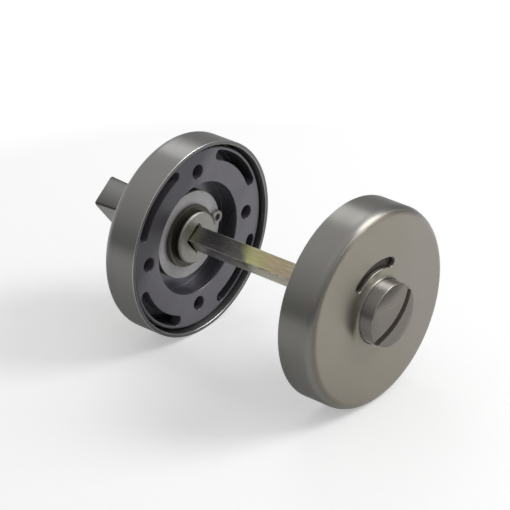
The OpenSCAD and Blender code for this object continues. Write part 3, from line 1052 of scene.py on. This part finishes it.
neckCorners = hubCorners(discLow) + [(rose["knobRadius"], discLow, hub["shoulderEdge"]),
                                     (rose["knobRadius"], neckTop, turn["neckEdge"]),
                                     (0, neckTop, 0)]
thumbTurn = lathe("thumbTurn", eased(neckCorners, closed=False), steps=144)
merge(thumbTurn, makeWing(), "UNION")
merge(thumbTurn, socketTool(turn["socketDepth"], insideTurn))
grubMiddle = Vector(((turn["grubFrom"] + turn["grubTo"]) / 2, 0, neckTop - turn["grubBelow"]))
bpy.ops.mesh.primitive_cylinder_add(vertices=48, radius=turn["grubRadius"] * mm,
                                    depth=(turn["grubTo"] - turn["grubFrom"]) * mm,
                                    location=grubMiddle * mm, rotation=(0, math.pi / 2, 0))
merge(thumbTurn, turnBy(settle(), insideTurn + 180))
smoothOff(thumbTurn)
paint(thumbTurn, ("turnSteel", "hubSteel", "turnEdgeShade", "wingEnd", "springSteel"), turnShare)
fit(thumbTurn, "inside", "turn", "turned_steel", "thumb_turn")
print("thumb turn made")


# Spindle: a drawn square bar with its long edges broken

bar = {
    "side": 5.0,
    "edge": 0.45,
}
barEnds = [corner.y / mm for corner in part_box("spindle")]
spindle = block("spindleBar", (bar["side"], bar["side"], barEnds[1] - barEnds[0]),
                (0, 0, -sum(barEnds) / 2))
breakEdges(spindle, lambda edge: edge.calc_length() > 2 * bar["side"] * mm, bar["edge"], 3)
smoothOff(spindle, 20)
paint(spindle, ("yellowZinc", "wornEdge"),
      lambda face: max(abs(value) for value in face.normal) < 0.9)
turnBy(spindle, rose["spindleTurn"])
fit(spindle, "outside", "turn", "yellow_zinc", "spindle")
print("spindle made")


# Washers and circlips

clip = {
    "innerRadius": 6.72,
    "band": 1.7,
    "shift": 0.4,
    "earReach": 3.2,
    "earBoss": 1.8,
    "earHole": 0.95,
    "earAngle": 17.5,
    "gapAngle": 9,
    "turn": -10,
    "edge": 0.1,
}


def disc(name, radius, low, high, centre=(0, 0), steps=96):
    bpy.ops.object.select_all(action="DESELECT")
    bpy.ops.mesh.primitive_cylinder_add(vertices=steps, radius=radius * mm, depth=(high - low) * mm,
                                        location=Vector((*centre, (low + high) / 2)) * mm)
    bpy.context.object.name = name
    return settle()


def onClipBorder(edge):
    return isSharp(edge, 60) and (liesAt(edge, clipLow) or liesAt(edge, clipHigh))


def makeClip():
    ring = disc("insideClip", clip["innerRadius"] + clip["band"], clipLow, clipHigh,
                (-clip["shift"], 0))
    reach = rose["hubRadius"] + clip["earReach"]
    earTurn = math.radians(clip["earAngle"])
    ears = [spoke(earTurn) * reach, spoke(-earTurn) * reach]
    for ear in ears:
        merge(ring, disc("ear", clip["earBoss"], clipLow, clipHigh, ear, 40), "UNION")
        angle = math.degrees(math.atan2(ear.y, ear.x))
        tongue = block("tongue", (clip["earReach"], 2 * clip["earBoss"], clipHigh - clipLow),
                       (rose["hubRadius"] + clip["earReach"] / 2, 0, (clipLow + clipHigh) / 2))
        merge(ring, turnBy(tongue, angle), "UNION")
    merge(ring, disc("bore", clip["innerRadius"], clipLow - 1, clipHigh + 1))
    gap = math.radians(clip["gapAngle"])
    wedge = [(0, 0), spoke(-gap) * 2 * reach, spoke(gap) * 2 * reach, (0, 0)]
    merge(ring, slab("wedge", wedge, clipLow - 1, clipHigh + 1))
    for ear in ears:
        merge(ring, disc("hole", clip["earHole"], clipLow - 1, clipHigh + 1, ear, 32))
    joinFlats(ring)
    breakEdges(ring, onClipBorder, clip["edge"])
    return smoothOff(ring)


washer = {"radius": 11.85, "bore": 7.1, "edge": 0.12}
washerCorners = [(across, up, washer["edge"]) for across, up in (
    (washer["bore"], washerLow), (washer["radius"], washerLow),
    (washer["radius"], washerHigh), (washer["bore"], washerHigh))]
insideClip = makeClip()
outsideClip = turnBy(copyOf(insideClip, "outsideClip"), clip["turn"])
turnBy(insideClip, 180 - clip["turn"])
insideWasher = smoothOff(lathe("insideWasher", eased(washerCorners), steps=144))
outsideWasher = copyOf(insideWasher, "outsideWasher")
for kind, look, slotName, inside, outside in (
        ("circlip", "springSteel", "spring_steel", insideClip, outsideClip),
        ("washer", "washerGrey", "plain_steel", insideWasher, outsideWasher)):
    for piece, side, body in ((inside, "inside", "turn"), (outside, "outside", "release")):
        paint(piece, [look], lambda face: 0)
        fit(piece, side, body, slotName, side + "_" + kind)
print("washers and circlips made")


# What stays from the CAD model only gets its finish

carried = {
    "indicator_disc": "discBlack",
    "locked_marker": "markerRed",
    "outside_bush": "whiteNylon",
    "inside_bush": "whiteNylon",
    "outside_wave_washer": "springSteel",
    "inside_wave_washer": "springSteel",
    "outside_snap_ring": "springSteel",
    "inside_snap_ring": "springSteel",
    "grub_screw": "springSteel",
}
for cadNode, look in carried.items():
    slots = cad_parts[cadNode].data.materials
    slots.clear()
    slots.append(finishes[look])
print("carried pieces finished:", len(carried))


# Floor, light and camera

studio = {
    "middle": (0, 0.02, 0),      # in metres, the lamps' aim and over the floor's middle
    "floorRadius": 0.32,
    "floorDrop": 0.0001,
    "floorColour": (0.80, 0.80, 0.80),
    "speckColour": (0.82, 0.82, 0.82),
    "floorLift": 0.35,           # added for the camera and for mirrors: white where it is lit
    "liftAt": (140, 300),        # millimetres, where it fades to the white behind
    "frontAt": (-15, 5),         # soft borders of the two regions that mirrors see lifted: a painted pool of light in front and behind
    "frontEnd": (40, 80),
    "behindAt": (90, 120),
    "behindHalf": (60, 110),
    "ambient": 0.45,
    "lamps": {      # place, size across and up, power
        "keyLamp": ((0.344, -0.338, 0.432), (0.30, 0.36), 2.0),
        "backLamp": ((0.318, 0.360, 0.450), (0.26, 0.17), 0.30),
    },
    "leftSky": [(0.0, (0.3,) * 3), (0.50, (0.20,) * 3), (0.565, (0.22,) * 3), (0.675, (0.41,) * 3),
                (0.77, (0.51,) * 3), (0.845, (0.59,) * 3), (0.92, (0.75,) * 3)],
    "rightSky": [(0.0, (0.6,) * 3), (0.50, (0.42,) * 3), (0.58, (0.35,) * 3), (0.69, (0.33,) * 3),
                 (0.75, (0.42,) * 3), (0.92, (0.75,) * 3)],
    "backSky": (0.75, 0.75, 0.75),
    "rightFrom": (-0.5, 0.5),    # where the left sky turns into the right one
    "backFrom": (0.74, 0.90),
}


def isSeen(tree):
    return put(tree, "ShaderNodeLightPath").outputs["Is Camera Ray"]


def seenOrMirrored(tree):
    # 1 for what the camera sees, straight or mirrored, 0 for light on its way to a surface
    path = put(tree, "ShaderNodeLightPath").outputs
    mirrored = reckon(tree, "MAXIMUM", path["Is Glossy Ray"], path["Is Transmission Ray"])
    return reckon(tree, "MAXIMUM", path["Is Camera Ray"], mirrored)


def layFloor():
    middle = Vector(studio["middle"])
    middle.z = cadBox[0].z - studio["floorDrop"]
    bpy.ops.object.select_all(action="DESELECT")
    bpy.ops.mesh.primitive_circle_add(vertices=96, radius=studio["floorRadius"], fill_type="NGON",
                                      location=middle)
    floor = bpy.context.object
    floor.name = "floor"
    finish, tree, shader = newFinish("paleFloor", roughness=0.9)
    shader.inputs["Specular IOR Level"].default_value = 0.1
    stops = [(0.3, studio["floorColour"]), (0.7, studio["speckColour"])]
    tree.links.new(tones(tree, speckle(tree, 400, 2), stops), shader.inputs["Base Color"])
    shader.inputs["Emission Color"].default_value = (1, 1, 1, 1)
    place = split(tree, placeOn(tree))
    # painted light: mirrors see the floor lifted in front and behind
    front = reckon(tree, "MULTIPLY", overPlaces(tree, place["X"], 0, 1, studio["frontAt"]),
                   overPlaces(tree, place["Y"], 1, 0, studio["frontEnd"]))
    aside = reckon(tree, "ABSOLUTE", place["X"])
    behind = reckon(tree, "MULTIPLY", overPlaces(tree, aside, 1, 0, studio["behindHalf"]),
                    overPlaces(tree, place["Y"], 0, 1, studio["behindAt"]))
    lifted = reckon(tree, "MULTIPLY", seenOrMirrored(tree), reckon(tree, "MAXIMUM", front, behind))
    seen = reckon(tree, "MAXIMUM", isSeen(tree), lifted)
    strength = overPlaces(tree, lengthOf(tree, placeOn(tree)), studio["floorLift"], 1,
                          studio["liftAt"])
    tree.links.new(reckon(tree, "MULTIPLY", seen, strength), shader.inputs["Emission Strength"])
    floor.data.materials.append(finish)


def lightWorld():
    world = bpy.data.worlds.new("studio")
    bpy.context.scene.world = world
    world.use_nodes = True
    tree = world.node_tree
    toward = split(tree, put(tree, "ShaderNodeTexCoord").outputs["Generated"])
    level = reckon(tree, "MULTIPLY_ADD", toward["Z"], 0.5, 0.5)     # 0 straight down, 1 straight up
    sky = blendColours(tree, between(tree, toward["X"], 0, 1, *studio["rightFrom"]),
                       tones(tree, level, studio["leftSky"]),
                       tones(tree, level, studio["rightSky"]))
    sky = blendColours(tree, between(tree, toward["Y"], 0, 1, *studio["backFrom"]), sky,
                       studio["backSky"])
    unseen = blendColours(tree, seenOrMirrored(tree), (studio["ambient"],) * 3, sky)
    tree.links.new(blendColours(tree, isSeen(tree), unseen, (1, 1, 1)),
                   tree.nodes["Background"].inputs["Color"])


def hangLamp(name, place, size, power):
    data = bpy.data.lights.new(name, "AREA")
    data.shape = "RECTANGLE"
    data.size, data.size_y = size
    data.energy = power
    lamp = bpy.data.objects.new(name, data)
    bpy.context.collection.objects.link(lamp)
    lamp.location = place
    aim = Vector(studio["middle"]) - Vector(place)
    lamp.rotation_euler = aim.to_track_quat("-Z", "Y").to_euler()


view = {
    "target": (-12.59, 20.0, 10.49),     # millimetres
    "azimuth": -50.02,
    "elevation": 28.23,
    "distance": 769.2,
    "lens": 220.13,
}


def setCamera():
    azimuth, elevation = math.radians(view["azimuth"]), math.radians(view["elevation"])
    back = Vector((math.sin(azimuth) * math.cos(elevation),
                   -math.cos(azimuth) * math.cos(elevation), math.sin(elevation)))
    data = bpy.data.cameras.new("camera")
    data.sensor_width = 36
    data.lens = view["lens"]
    camera = bpy.data.objects.new("camera", data)
    bpy.context.collection.objects.link(camera)
    camera.location = (Vector(view["target"]) + back * view["distance"]) * mm
    camera.rotation_euler = (-back).to_track_quat("-Z", "Y").to_euler()
    bpy.context.scene.camera = camera


layFloor()
lightWorld()
for name, (place, size, power) in studio["lamps"].items():
    hangLamp(name, place, size, power)
setCamera()
bpy.context.scene.view_settings.view_transform = "Standard"
print("studio ready")
